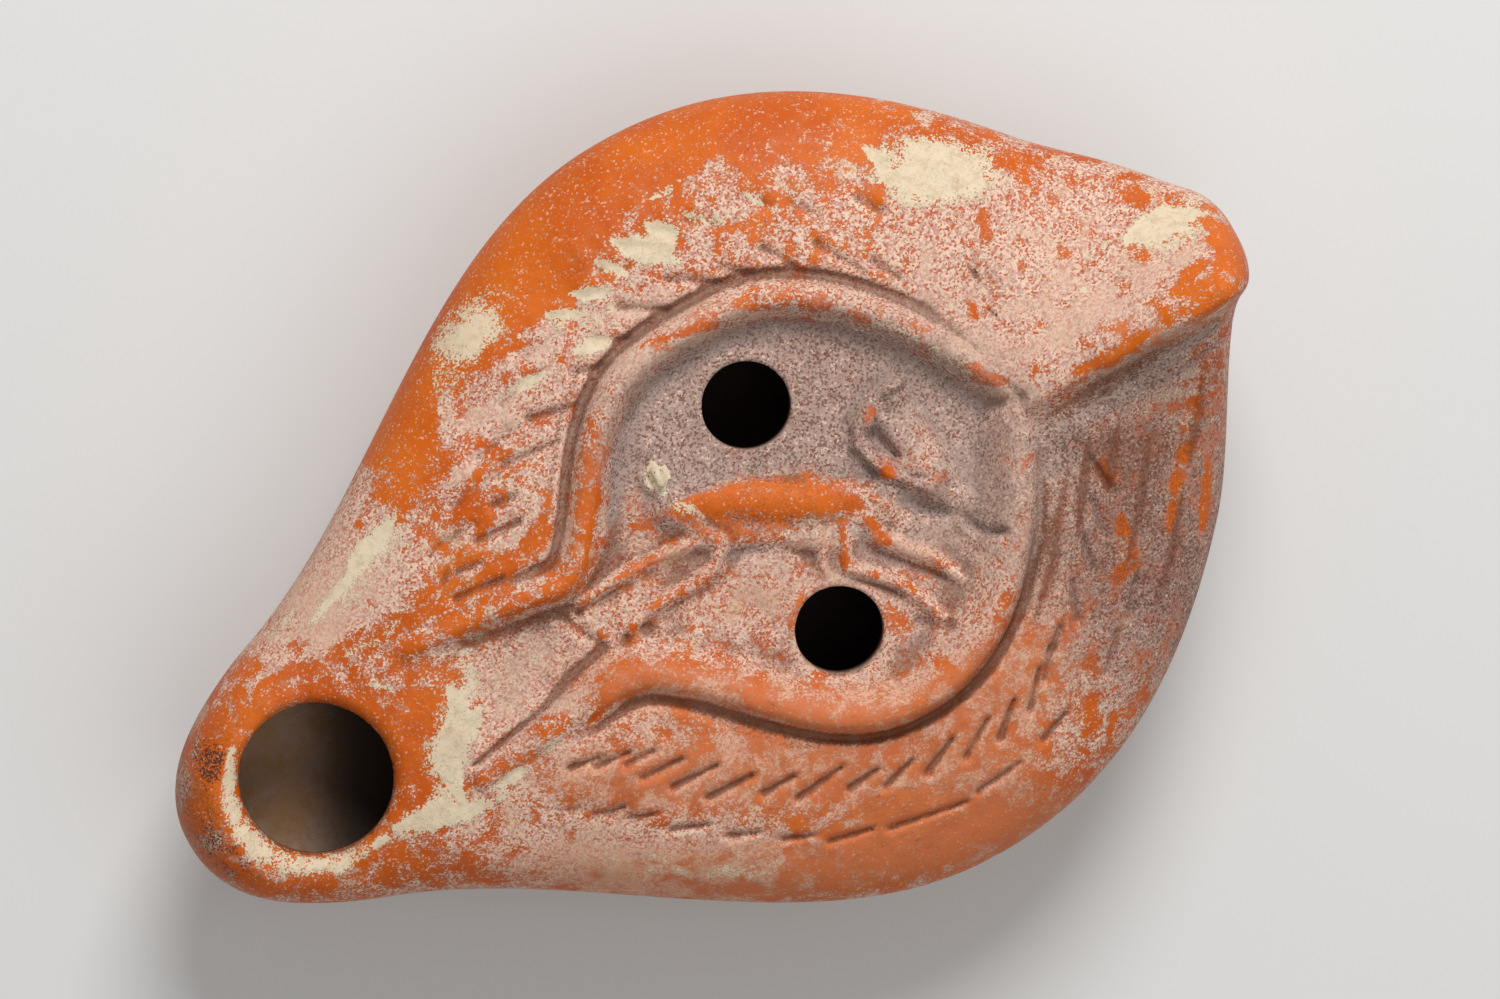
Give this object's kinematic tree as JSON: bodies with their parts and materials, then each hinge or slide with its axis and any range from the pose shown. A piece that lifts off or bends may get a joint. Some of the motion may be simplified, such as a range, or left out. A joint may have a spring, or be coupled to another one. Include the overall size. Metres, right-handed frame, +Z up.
{
  "type": "oil lamp",
  "caption": "Mould-made clay oil lamp: hollow pear-shaped body on a low foot, wick nozzle, sunken relief field with filling holes, fin handle.",
  "frame": {"origin": "on the table under the middle of the lamp's length and width", "axes": "+X towards the nozzle, +Y to the left of it seen from above, +Z up"},
  "size_m": [0.1224, 0.0834, 0.0371],
  "materials": {
    "terracotta": "matt fired clay with a worn orange slip and pale deposits"
  },
  "bodies": {
    "root": {"lamp_body": "terracotta"}
  },
  "joints": []
}
